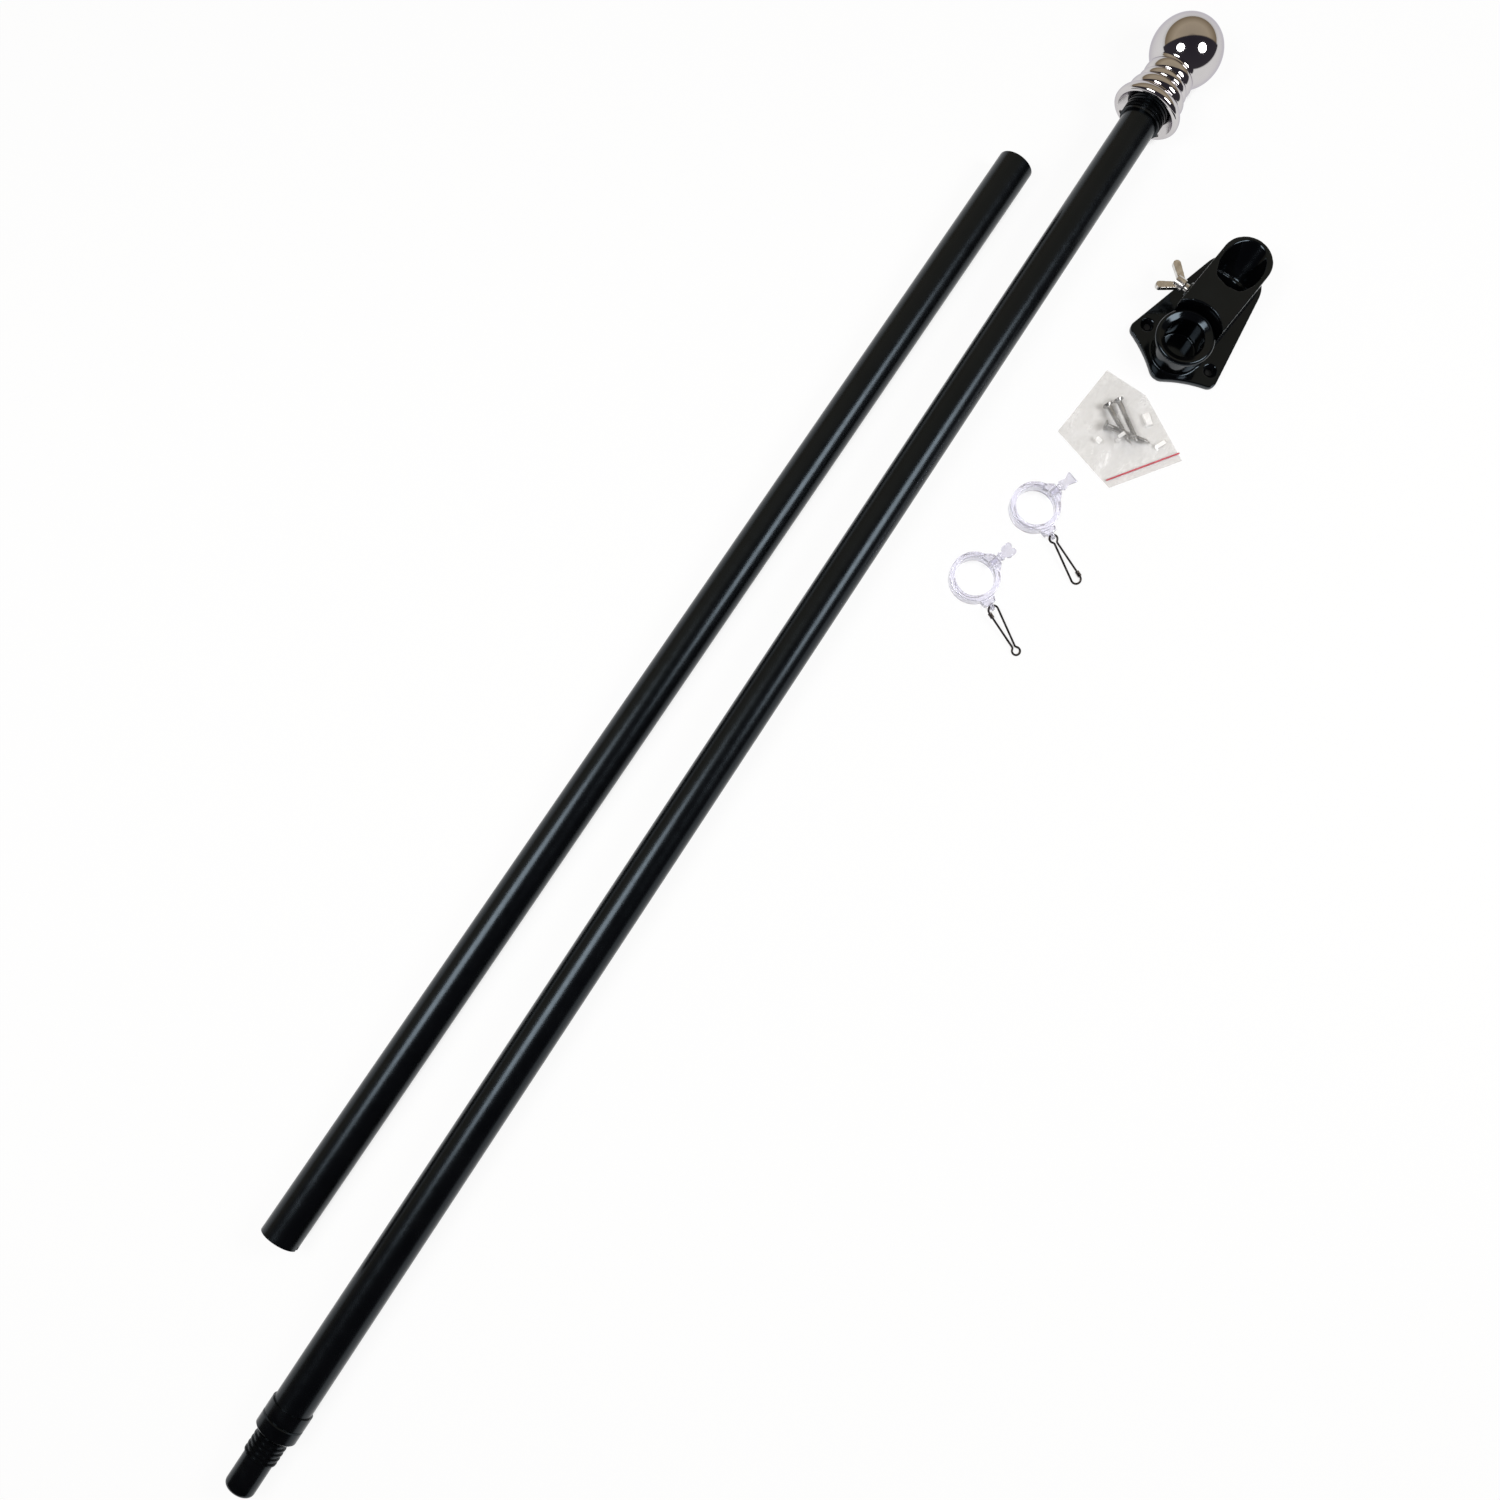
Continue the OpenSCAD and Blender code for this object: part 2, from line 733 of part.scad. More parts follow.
// One ring of points round the wire at a place on its middle line
function wire_ring(points, i) =
    let (n = len(points),
         along = points[(i + 1) % n] - points[(i + n - 1) % n],
         across = [-along.y, along.x] / norm(along))
    [for (k = [0:wire_sides - 1])
        let (a = 360 * k / wire_sides, out = wire_r * cos(a))
        [points[i].x + across.x * out, points[i].y + across.y * out, wire_r * sin(a)]];

module wire_loop(points) {
    n = len(points);
    rings = [for (i = [0:n - 1]) each wire_ring(points, i)];
    faces = [for (i = [0:n - 1], k = [0:wire_sides - 1])
        let (here = i * wire_sides, next = ((i + 1) % n) * wire_sides, up = (k + 1) % wire_sides)
        [next + k, next + up, here + up, here + k]];
    polyhedron(rings, faces);
}

// The hook's flat shape, with the latch's sleeve on one leg next to the wide end
module hook_shape() {
    side = hook_side();
    leg_to = side[len(side) - wide_steps - 1];
    leg_from = side[len(side) - wide_steps - 2];
    lean = leg_to - leg_from;
    wire_loop(hook_line());
    translate([leg_to.x, leg_to.y, 0])
        rotate([0, -90, atan2(lean.y, lean.x)])
            cylinder(d = latch_d, h = latch_len);
}

module on_lug(at, drop) {
    on_ring(at)
        translate([lug_x, 0, ring_h / 2])
            rotate([0, drop, 0])
                children();
}

module snap_hook_a() {
    color("#a9abb0")
        on_lug(ring_a_at, latch_drop)
            hook_shape();
}

// The second hook hangs by its wide end
module snap_hook_b() {
    color("#a9abb0")
        on_lug(ring_b_at, end_drop)
            translate([hook_len, 0, 0])
                rotate(180)
                    hook_shape();
}

module bag_back_film() {
    color("#d5d8da")
        in_bag()
            linear_extrude(film_t)
                polygon(scaled(bag_shares));
}

// Pillow of film over the screws, from its base up to its crown
module pillow(base_z, top_z) {
    hull() {
        translate([0, 0, base_z])
            linear_extrude(film_t)
                polygon(scaled(pillow_shares));
        translate([0, 0, top_z - film_t])
            linear_extrude(film_t)
                polygon(scaled(crown_shares));
    }
}

module bag_front_film() {
    color("#d5d8da")
        in_bag()
            difference() {
                union() {
                    translate([0, 0, film_t])
                        linear_extrude(film_t)
                            polygon(scaled(bag_shares));
                    pillow(film_t, crown_h);
                }
                pillow(0, crown_h - film_t);
            }
}

module bag_zip_strip() {
    color("#c4202c")
        in_bag()
            translate([0, zip_x, 2 * film_t])
                cube([bag_w, zip_w, zip_h]);
}

// Countersunk screw with its head's flat face at the origin and its tip along +X
module mounting_screw(i) {
    head_r = screw_head_d / 2;
    shank_r = screw_d / 2;
    head_t = head_r - shank_r;
    tip_t = screw_d;
    place = [screw_shares[i].x * bag_w, screw_shares[i].y * bag_len];
    color("#9a9da1")
        in_bag()
            translate([place.x, place.y, film_t + head_r + lie_clear])
                rotate([0, -screw_tilts[i], screw_turns[i]])
                    rotate([0, 90, 0])
                        rotate_extrude()
                            polygon([[0, 0], [head_r, 0], [head_r, head_t / 4], [shank_r, head_t],
                                     [shank_r, screw_len - tip_t], [0, screw_len]]);
}

module mounting_screw_1() {
    mounting_screw(0);
}

module mounting_screw_2() {
    mounting_screw(1);
}

module mounting_screw_3() {
    mounting_screw(2);
}

lower_pole_tube();
upper_pole_tube();
joint_plug();
finial();
finial_bushing();
bracket_casting();
wing_screw();
ring_a();
ring_b();
ring_thumbscrew_a();
ring_thumbscrew_b();
snap_hook_a();
snap_hook_b();
bag_back_film();
bag_front_film();
bag_zip_strip();
mounting_screw_1();
mounting_screw_2();
mounting_screw_3();
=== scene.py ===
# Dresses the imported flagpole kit: materials on the CAD nodes, a smooth chrome finial, threaded screws and the
# screw bag's films, on a white floor under two soft lamps, seen from above.
import json
import math

import bpy
import numpy as np
from mathutils import Euler, Matrix, Vector, noise

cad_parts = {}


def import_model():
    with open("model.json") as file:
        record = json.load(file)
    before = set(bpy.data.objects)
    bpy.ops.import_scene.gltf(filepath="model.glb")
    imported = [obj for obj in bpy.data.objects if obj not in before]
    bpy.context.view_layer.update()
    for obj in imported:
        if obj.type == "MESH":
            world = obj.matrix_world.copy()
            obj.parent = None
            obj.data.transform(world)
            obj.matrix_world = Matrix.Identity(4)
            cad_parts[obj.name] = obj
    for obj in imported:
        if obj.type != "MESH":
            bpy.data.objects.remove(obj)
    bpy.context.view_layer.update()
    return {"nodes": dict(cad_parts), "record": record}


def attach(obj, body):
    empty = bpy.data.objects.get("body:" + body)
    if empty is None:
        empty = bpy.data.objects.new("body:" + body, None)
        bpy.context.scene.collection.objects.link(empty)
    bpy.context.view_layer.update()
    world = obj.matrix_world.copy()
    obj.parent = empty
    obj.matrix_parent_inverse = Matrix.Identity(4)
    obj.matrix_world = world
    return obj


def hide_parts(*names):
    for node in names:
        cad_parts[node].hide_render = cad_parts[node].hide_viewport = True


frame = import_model()
scene = bpy.context.scene
nodes = frame["nodes"]
MM = 0.001

# Sockets of a colour Mix node: its colours at factor 0 and 1, and the mixed colour
MIX_START = 6
MIX_END = 7
MIX_RESULT = 2

# Features per metre of the paint's mottle and gloss
MOTTLE_SCALE = 45
GLOSS_SCALE = 160
# Detail and depth of a fine skin
SKIN_DETAIL = 2
SKIN_DEPTH = 0.1 * MM
# Black finishes reflect a little cooler than the room
COOL_SHEEN = (0.7, 0.86, 1.0, 1)
# How much finer than its tone a metal's polish and skin are
POLISH_FINER = 1.7
SKIN_FINER = 5

# The screw bag's axes run along its zip edge and away from it, in millimetres
bag_turn = math.radians(-35.6)
in_bag = Matrix.Translation(Vector((254.6, -77.7, 0)) * MM) @ Matrix.Rotation(bag_turn, 4, "Z")
bag_w = 53.4
bag_len = 77.4
# Painted glints on its film, white patches that stand in for reflected light: place, turn in degrees and half
# sizes
painted_film_glints = [(42.8, 35, -40, 2.6, 4.6), (44, 15.5, -22, 4.6, 1.5),
               (19, 29, -30, 2.2, 1.4), (6, 33, -20, 1.2, 2.4)]
# The red line on its zip: distance from the edge, and half sizes along and across
zip_line_y = 5.3
zip_line_half_w = 40
zip_line_half_h = 0.55


# Materials

def new_material(name):
    """A node material with its tree and its Principled shader."""
    mat = bpy.data.materials.new(name)
    mat.use_nodes = True
    tree = mat.node_tree
    return mat, tree, tree.nodes["Principled BSDF"]


def put(tree, value, socket):
    """Gives a socket a node's output or a plain value."""
    if isinstance(value, bpy.types.NodeSocket):
        tree.links.new(value, socket)
    else:
        socket.default_value = value


def combine(tree, operation, first, second):
    """A Math node's result on two values."""
    node = tree.nodes.new("ShaderNodeMath")
    node.operation = operation
    put(tree, first, node.inputs[0])
    put(tree, second, node.inputs[1])
    return node.outputs["Value"]


def mix_colour(tree, fac, start, end):
    node = tree.nodes.new("ShaderNodeMix")
    node.data_type = "RGBA"
    tree.links.new(fac, node.inputs["Factor"])
    put(tree, start, node.inputs[MIX_START])
    put(tree, end, node.inputs[MIX_END])
    return node.outputs[MIX_RESULT]


def mix_shader(tree, fac, start, end):
    node = tree.nodes.new("ShaderNodeMixShader")
    tree.links.new(fac, node.inputs["Fac"])
    tree.links.new(start, node.inputs[1])
    tree.links.new(end, node.inputs[2])
    return node.outputs["Shader"]


def coords(tree, stretch=(1, 1, 1), turn=0.0):
    """Object coordinates in metres, turned about Z and then stretched."""
    where = tree.nodes.new("ShaderNodeTexCoord")
    mapping = tree.nodes.new("ShaderNodeMapping")
    mapping.inputs["Rotation"].default_value = (0, 0, turn)
    mapping.inputs["Scale"].default_value = stretch
    tree.links.new(where.outputs["Object"], mapping.inputs["Vector"])
    return mapping.outputs["Vector"]


def grain(tree, scale, detail=4.0, rough=0.55, stretch=(1, 1, 1), turn=0.0):
    """A noise pattern; scale is in features per metre."""
    node = tree.nodes.new("ShaderNodeTexNoise")
    node.inputs["Scale"].default_value = scale
    node.inputs["Detail"].default_value = detail
    node.inputs["Roughness"].default_value = rough
    tree.links.new(coords(tree, stretch, turn), node.inputs["Vector"])
    return node.outputs["Fac"]


def spread(tree, fac, low, high, start=0.3, end=0.7):
    """A pattern's values from start to end, mapped to low and high."""
    node = tree.nodes.new("ShaderNodeMapRange")
    node.inputs["From Min"].default_value = start
    node.inputs["From Max"].default_value = end
    node.inputs["To Min"].default_value = low
    node.inputs["To Max"].default_value = high
    tree.links.new(fac, node.inputs["Value"])
    return node.outputs["Result"]


def ramp(tree, fac, stops):
    """Colours along a pattern, as (place, (r, g, b))."""
    node = tree.nodes.new("ShaderNodeValToRGB")
    node.color_ramp.elements[0].position = stops[0][0]
    node.color_ramp.elements[0].color = (*stops[0][1], 1)
    node.color_ramp.elements[1].position = stops[-1][0]
    node.color_ramp.elements[1].color = (*stops[-1][1], 1)
    for place, colour in stops[1:-1]:
        node.color_ramp.elements.new(place).color = (*colour, 1)
    tree.links.new(fac, node.inputs["Fac"])
    return node.outputs["Color"]


def bump(tree, shader, height, strength, distance):
    node = tree.nodes.new("ShaderNodeBump")
    node.inputs["Strength"].default_value = strength
    node.inputs["Distance"].default_value = distance
    tree.links.new(height, node.inputs["Height"])
    tree.links.new(node.outputs["Normal"], shader.inputs["Normal"])


def patch(tree, place, turn, half_w, half_h):
    """One inside a rounded oblong patch of the object, falling to zero over its rim; lengths in metres."""
    rounding = 0.3
    rim_start = 0.8
    rim_end = 1.2
    where = tree.nodes.new("ShaderNodeTexCoord")
    mapping = tree.nodes.new("ShaderNodeMapping")
    mapping.vector_type = "TEXTURE"
    mapping.inputs["Location"].default_value = place
    mapping.inputs["Rotation"].default_value = (0, 0, turn)
    mapping.inputs["Scale"].default_value = (half_w, half_h, 1)
    tree.links.new(where.outputs["Object"], mapping.inputs["Vector"])
    size = tree.nodes.new("ShaderNodeVectorMath")
    size.operation = "ABSOLUTE"
    tree.links.new(mapping.outputs["Vector"], size.inputs[0])
    axes = tree.nodes.new("ShaderNodeSeparateXYZ")
    tree.links.new(size.outputs["Vector"], axes.inputs["Vector"])
    reach = tree.nodes.new("ShaderNodeMath")
    reach.operation = "SMOOTH_MAX"
    reach.inputs[2].default_value = rounding
    tree.links.new(axes.outputs["X"], reach.inputs[0])
    tree.links.new(axes.outputs["Y"], reach.inputs[1])
    return spread(tree, reach.outputs["Value"], 1.0, 0.0, rim_start, rim_end)


def painted(name, dark, light, rough, skin_scale, skin, shine):
    """Black finish with a faint mottle, uneven gloss and a fine skin."""
    mat, tree, shader = new_material(name)
    shader.inputs["Specular IOR Level"].default_value = shine
    shader.inputs["Specular Tint"].default_value = COOL_SHEEN
    mottle = ramp(tree, grain(tree, MOTTLE_SCALE), [(0.35, dark), (0.7, light)])
    tree.links.new(mottle, shader.inputs["Base Color"])
    tree.links.new(spread(tree, grain(tree, GLOSS_SCALE), *rough), shader.inputs["Roughness"])
    bump(tree, shader, grain(tree, skin_scale, SKIN_DETAIL), skin, SKIN_DEPTH)
    return mat


def metal(name, stops, rough, scale, skin, edge=(1, 1, 1)):
    """Bare or plated metal with uneven tone and polish; edge tints it where it is seen at a slant."""
    mat, tree, shader = new_material(name)
    shader.inputs["Metallic"].default_value = 1.0
    shader.inputs["Specular Tint"].default_value = (*edge, 1)
    tree.links.new(ramp(tree, grain(tree, scale), stops), shader.inputs["Base Color"])
    polish = spread(tree, grain(tree, scale * POLISH_FINER), *rough)
    tree.links.new(polish, shader.inputs["Roughness"])
    bump(tree, shader, grain(tree, scale * SKIN_FINER, SKIN_DETAIL), skin, SKIN_DEPTH)
    return mat


def lighten_shadow(tree, shader, share):
    """Lets that share of the lamps' light pass, so a clear piece casts a light shadow."""
    path = tree.nodes.new("ShaderNodeLightPath")
    passed = combine(tree, "MULTIPLY", path.outputs["Is Shadow Ray"], share)
    clear = tree.nodes.new("ShaderNodeBsdfTransparent")
    both = mix_shader(tree, passed, shader.outputs["BSDF"], clear.outputs["BSDF"])
    tree.links.new(both, tree.nodes["Material Output"].inputs["Surface"])


def clear_plastic():
    """Clear moulded plastic with a lilac tint, whose shadow stays light."""
    mat, tree, shader = new_material("clear_plastic")
    shader.inputs["Transmission Weight"].default_value = 0.8
    shader.inputs["IOR"].default_value = 1.47
    tint = ramp(tree, grain(tree, 90), [(0.3, (0.68, 0.675, 0.76)), (0.7, (0.8, 0.795, 0.86))])
    tree.links.new(tint, shader.inputs["Base Color"])
    tree.links.new(spread(tree, grain(tree, 140), 0.02, 0.07), shader.inputs["Roughness"])
    lighten_shadow(tree, shader, share=0.8)
    return mat


def film():
    """Thin cloudy polythene: see-through, with milky patches, fine creases and painted white glints."""
    painted_glint_white = (0.97, 0.97, 0.97, 1)
    mat, tree, shader = new_material("bag_film")
    cloud = grain(tree, 42, detail=2, rough=0.5, stretch=(1, 2.2, 1), turn=0.6)
    tone = ramp(tree, cloud, [(0.32, (0.6, 0.6, 0.58)), (0.5, (0.74, 0.74, 0.73)),
                              (0.66, (0.93, 0.93, 0.93))])
    veil = spread(tree, cloud, 0.1, 0.3)
    # Painted glints: white, nearly opaque patches standing in for the lamps' reflections on the film
    for x, y, turn, half_w, half_h in painted_film_glints:
        place = in_bag @ Vector((x * MM, y * MM, 0))
        white = patch(tree, place, math.radians(turn), half_w * MM, half_h * MM)
        tone = mix_colour(tree, white, tone, painted_glint_white)
        veil = combine(tree, "MAXIMUM", white, veil)
    tree.links.new(tone, shader.inputs["Base Color"])
    tree.links.new(veil, shader.inputs["Alpha"])
    tree.links.new(spread(tree, grain(tree, 220), 0.08, 0.2), shader.inputs["Roughness"])
    fine_creases = grain(tree, 150, detail=2, rough=0.5, stretch=(1, 3, 1), turn=0.9)
    bump(tree, shader, fine_creases, 0.25, 0.3 * MM)
    return mat


def red_plastic():
    """The zip's strip: a red line along its outer side, and cloudy film beside it."""
    film_grey = (0.8, 0.8, 0.8, 1)
    film_veil = 0.2
    mat, tree, shader = new_material("red_zip")
    red = ramp(tree, grain(tree, 250), [(0.3, (0.5, 0.03, 0.06)), (0.7, (0.68, 0.08, 0.12))])
    middle = in_bag @ Vector((bag_w / 2 * MM, zip_line_y * MM, 0))
    line = patch(tree, middle, bag_turn, zip_line_half_w * MM, zip_line_half_h * MM)
    tree.links.new(mix_colour(tree, line, film_grey, red), shader.inputs["Base Color"])
    tree.links.new(spread(tree, line, film_veil, 1.0, 0.0, 1.0), shader.inputs["Alpha"])
    tree.links.new(spread(tree, grain(tree, 500), 0.25, 0.45), shader.inputs["Roughness"])
    ribs = grain(tree, 1500, detail=2, rough=0.5, stretch=(1, 6, 1), turn=0.62)
    bump(tree, shader, ribs, 0.2, SKIN_DEPTH)
    return mat


finish = {
    "pole_paint": painted("pole_paint", (0.0012, 0.0014, 0.0017), (0.0022, 0.0024, 0.0028),
                          rough=(0.22, 0.28), skin_scale=2600, skin=0.06, shine=0.32),
    "black_plastic": painted("black_plastic", (0.0012, 0.0013, 0.0015), (0.0026, 0.0027, 0.003),
                             rough=(0.16, 0.28), skin_scale=1400, skin=0.15, shine=0.3),
    "bracket_paint": painted("bracket_paint", (0.001, 0.0011, 0.0013), (0.0022, 0.0024, 0.0027),
                             rough=(0.08, 0.16), skin_scale=420, skin=0.05, shine=0.34),
    "finial_chrome": metal("finial_chrome", [(0.3, (0.57, 0.55, 0.55)), (0.7, (0.62, 0.6, 0.6))],
                           rough=(0.04, 0.08), scale=40, skin=0.0, edge=(0.7, 0.68, 0.74)),
    "zinc": metal("zinc", [(0.3, (0.48, 0.46, 0.43)), (0.5, (0.62, 0.6, 0.57)), (0.7, (0.76, 0.75, 0.73))],
                  rough=(0.2, 0.36), scale=220, skin=0.15),
    "nickel_wire": metal("nickel_wire", [(0.3, (0.06, 0.053, 0.05)), (0.7, (0.28, 0.26, 0.25))],
                         rough=(0.08, 0.2), scale=260, skin=0.05),
    "screw_steel": metal("screw_steel", [(0.3, (0.22, 0.215, 0.21)), (0.7, (0.46, 0.455, 0.45))],
                         rough=(0.14, 0.26), scale=300, skin=0.1),
    "clear_plastic": clear_plastic(),
    "bag_film": film(),
    "red_zip": red_plastic(),
}


def dress(obj, slot):
    obj.data.materials.clear()
    obj.data.materials.append(finish[slot])


def soften(name, cell, passes):
    """Rounds a CAD node's sharp edges: cells of that size in millimetres, then smoothed that many times."""
    cells = nodes[name].modifiers.new("cells", "REMESH")
    cells.mode = "VOXEL"
    cells.voxel_size = cell * MM
    cells.use_smooth_shade = True
    smooth = nodes[name].modifiers.new("soft_edges", "SMOOTH")
    smooth.factor = 0.5
    smooth.iterations = passes


for part in frame["record"]["subparts"]:
    dress(nodes[part["node"]], part["material_slot"])


# Pieces

def mesh_object(name, points, faces, slot, body="root"):
    """A smooth piece of the model in that material slot, which rides on that body."""
    mesh = bpy.data.meshes.new(name)
    mesh.from_pydata([tuple(p) for p in points], [], faces)
    mesh.update()
    mesh.shade_smooth()
    obj = bpy.data.objects.new(name, mesh)
    scene.collection.objects.link(obj)
    dress(obj, slot)
    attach(obj, body)
    return obj


def ring_faces(rings, count):
    """Quads between neighbouring rings of count points each."""
    faces = []
    for i in range(rings - 1):
        for k in range(count):
            n = (k + 1) % count
            faces.append((i * count + k, i * count + n, (i + 1) * count + n, (i + 1) * count + k))
    return faces


def arc(cx, cy, r, start, end, steps):
    """Points of an arc in a half section, as (along, radius)."""
    out = []
    for i in range(steps + 1):
        a = math.radians(start + (end - start) * i / steps)
        out.append((cx + r * math.cos(a), cy + r * math.sin(a)))
    return out


def bead(start, end, low, crown):
    """Points of a bead's bulge over the low radius, as (along, radius)."""
    steps = 16
    out = []
    for i in range(steps + 1):
        a = math.pi * (1 - i / steps)
        out.append(((start + end) / 2 + (end - start) / 2 * math.cos(a), low + crown * math.sin(a)))
    return out


def lathe(name, profile, place, slot, steps=128):
    """Turns a half section of (along, radius) points in millimetres about the place's X axis."""
    points = []
    for along, radius in profile:
        for k in range(steps):
            a = 2 * math.pi * k / steps
            local = Vector((along, radius * math.cos(a), radius * math.sin(a))) * MM
            points.append(place @ local)
    return mesh_object(name, points, ring_faces(len(profile), steps), slot)


# The upper section's axis, tilted because its collar and its ball carry it
ball_r = 24.8
collar_r = 13.7
collar_len = 18.0
flange_at = 994.0
ball_rise = 56.0
tilt = math.asin((ball_r - collar_r) / (flange_at + ball_rise + collar_len))
upper_z = collar_r + collar_len * math.sin(tilt)
upper_turn = Euler((0, -tilt, math.radians(0.47))).to_matrix().to_4x4()
upper = Matrix.Translation(Vector((-509.5, 32.4, upper_z)) * MM) @ upper_turn
at_flange = upper @ Matrix.Translation((flange_at * MM, 0, 0))


def finial():
    """Chrome finial: cup, flange with its shoulder, three beads with grooves between them, and the ball."""
    neck = 16.2
    # The cup's floor and wall, out to the flange's face
    outline = [(10.3, 0.0), (10.3, 14.6), (5.6, 14.7), (5.6, 16.3), (0.35, 20.3)]
    # The flange's rim and shoulder
    outline += arc(0.6, 20.85, 0.6, 210, 150, 3)
    outline += arc(2.5, 21.5, 2.5, 170, 90, 8)
    outline += arc(2.5, 16.0, 8.0, 86, 20, 16)
    # The three beads, and the groove before the ball
    outline += bead(10.4, 18.8, 17.4, 2.8)
    outline += bead(19.6, 25.4, 16.5, 1.5)
    outline += bead(26.1, 34.8, 15.9, 1.7)
    outline += [(35.4, 15.7), (36.2, 15.9)]
    start = 180 - math.degrees(math.asin(neck / ball_r))
    outline += arc(ball_rise, 0.0, ball_r, start, 0, 56)
    outline[-1] = (ball_rise + ball_r, 0.0)
    obj = lathe("finial_chrome", outline, at_flange, "finial_chrome")
    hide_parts("finial")


finial()


# The screw bag's outline and sides, and its screws
corners = [(0.0, 0.0), (1.0, 0.0), (0.92, 0.66), (0.59, 1.0), (-0.31, 0.635)]
corners = [(x * bag_w, y * bag_len) for x, y in corners]
sides = list(zip(corners, corners[1:] + corners[:1]))
screw_len = 34.0
shank_r = 1.9
head_r = 3.6
head_z = 4.05
screws = []
for x, y, turn, lift in ((0.54, 0.7, -93, 8), (0.39, 0.69, -88, 10.3), (0.25, 0.53, -43, -3.1)):
    screws.append((Vector((x * bag_w, y * bag_len, head_z)), math.radians(turn), math.radians(lift)))


def thread_radius(along, around):
    """Radius of the screw's thread at a place along it and a share of the way round it."""
    pitch = 1.9
    core_r = 1.25
    ridge_half = 0.3
    point_len = 5.0
    point_least = 0.03
    phase = (along / pitch - around) % 1.0
    ridge = max(0.0, 1.0 - abs(phase - 0.5) / ridge_half)
    taper = min(1.0, max(point_least, (screw_len - along) / point_len))
    return (core_r + (shank_r - core_r) * ridge) * taper


def mounting_screw(index):
    """Countersunk wood screw with a flat head, a plain neck and a helical thread."""
    start, turn, lift = screws[index]
    steps = 20
    thread_start = 11.0
    thread_rows = 150
    tip = 0.2
    # Rows of points as (along, radius); the thread's rows have no radius of their own
    rows = [(0.0, 0.0), (0.0, 1.0), (0.0, head_r - 0.25), (0.2, head_r), (0.5, head_r),
            (1.8, 1.85), (2.2, 1.75), (10.5, 1.75)]
    for i in range(thread_rows + 1):
        rows.append((thread_start + (screw_len - tip - thread_start) * i / thread_rows, None))
    place = in_bag @ Matrix.Translation(start * MM) @ Euler((0, -lift, turn)).to_matrix().to_4x4()
    points = []
    for along, radius in rows:
        for k in range(steps):
            a = 2 * math.pi * k / steps
            r = thread_radius(along, k / steps) if radius is None else radius
            points.append(place @ (Vector((along, r * math.cos(a), r * math.sin(a))) * MM))
    faces = ring_faces(len(rows), steps)
    last = (len(rows) - 1) * steps
    faces.append(tuple(range(last, last + steps)))
    obj = mesh_object(f"screw_{index + 1}", points, faces, "zinc")
    dress(obj, "screw_steel")
    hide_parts(f"mounting_screw_{index + 1}")


for number in range(len(screws)):
    mounting_screw(number)


def grow(value, start, reach):
    """Zero up to the start, and from there to one over that reach."""
    return min(1.0, max(0.0, value - start) / reach)


def edge_distance(x, y):
    """Distance from the bag's edge, negative outside."""
    best = 1e9
    inside = True
    for (ax, ay), (bx, by) in sides:
        side = ((bx - ax) * (y - ay) - (by - ay) * (x - ax)) / math.hypot(bx - ax, by - ay)
        inside = inside and side >= 0
        best = min(best, abs(side))
    return best if inside else -best


def screw_top(x, y):
    """Height of the screws' upper side over a place in the bag."""
    before_head = -0.3
    head_rim = 0.6
    head_slope = 1.35
    point_len = 4.0
    point_least = 0.25
    top = 0.0
    for start, turn, lift in screws:
        dx = x - start.x
        dy = y - start.y
        along = dx * math.cos(turn) + dy * math.sin(turn)
        across = -dx * math.sin(turn) + dy * math.cos(turn)
        reach = along / math.cos(lift)
        if before_head <= reach <= screw_len:
            r = head_r if reach < head_rim else max(shank_r, head_r - head_slope * (reach - head_rim))
            r *= min(1.0, max(point_least, (screw_len - reach) / point_len))
            if abs(across) < r:
                top = max(top, start.z + reach * math.sin(lift) + math.sqrt(r * r - across * across))
    return top


def crease(x, y, ax, ay, bx, by, width, height):
    """Height of one soft fold in the film, from a to b."""
    dx = bx - ax
    dy = by - ay
    share = ((x - ax) * dx + (y - ay) * dy) / (dx * dx + dy * dy)
    if not 0 < share < 1:
        return 0.0
    off = abs((x - ax) * dy - (y - ay) * dx) / math.hypot(dx, dy)
    return height * math.sin(math.pi * share) * math.exp(-((off / width) ** 2))


# Folds in the front film: both ends, width and height
creases = [(14, 62, -2, 22, 1.6, 1.3), (9, 60, -9, 44, 1.3, 0.9), (31, 74, 26, 58, 1.4, 1.0),
           (46, 50, 36, 44, 1.5, 1.3), (48, 40, 38, 30, 1.8, 1.4), (48, 30, 40, 19, 1.5, 1.1),
           (20, 16, 4, 10, 1.4, 1.0), (12, 30, 0, 13, 1.3, 0.9), (27, 20, 29, 9, 1.2, 0.9),
           (40, 18, 48, 8, 1.4, 0.9)]


def neighbours(h):
    """Mean of the four neighbours of each place on the grid."""
    return (np.roll(h, 1, 0) + np.roll(h, -1, 0) + np.roll(h, 1, 1) + np.roll(h, -1, 1)) / 4


def film_heights():
    """The front film's heights on a one-millimetre grid: a membrane held at the seams, over the screws."""
    x0, y0 = -18, -1
    nx, ny = 74, 80
    seam = 2.5
    zip_end = 8
    air_rise = 3.4
    over_screw = 0.35
    settle_rounds = 700
    sag = 0.995
    least_h = np.zeros((nx, ny))
    held = np.zeros((nx, ny), bool)
    for i in range(nx):
        for j in range(ny):
            x, y = x0 + i, y0 + j
            d = edge_distance(x, y)
            held[i, j] = d < seam or y < zip_end
            air = air_rise * grow(d, seam, 14.0) * grow(y, zip_end, 9.0)
            top = screw_top(x, y)
            least_h[i, j] = max(air, top + over_screw if top else 0.0)
    h = least_h.copy()
    h[held] = 0.0
    for _ in range(settle_rounds):
        h = np.maximum(neighbours(h) * sag, least_h)
        h[held] = 0.0
    for _ in range(2):
        h = np.maximum(0.5 * h + 0.5 * neighbours(h), least_h * 0.98)
    return x0, y0, h


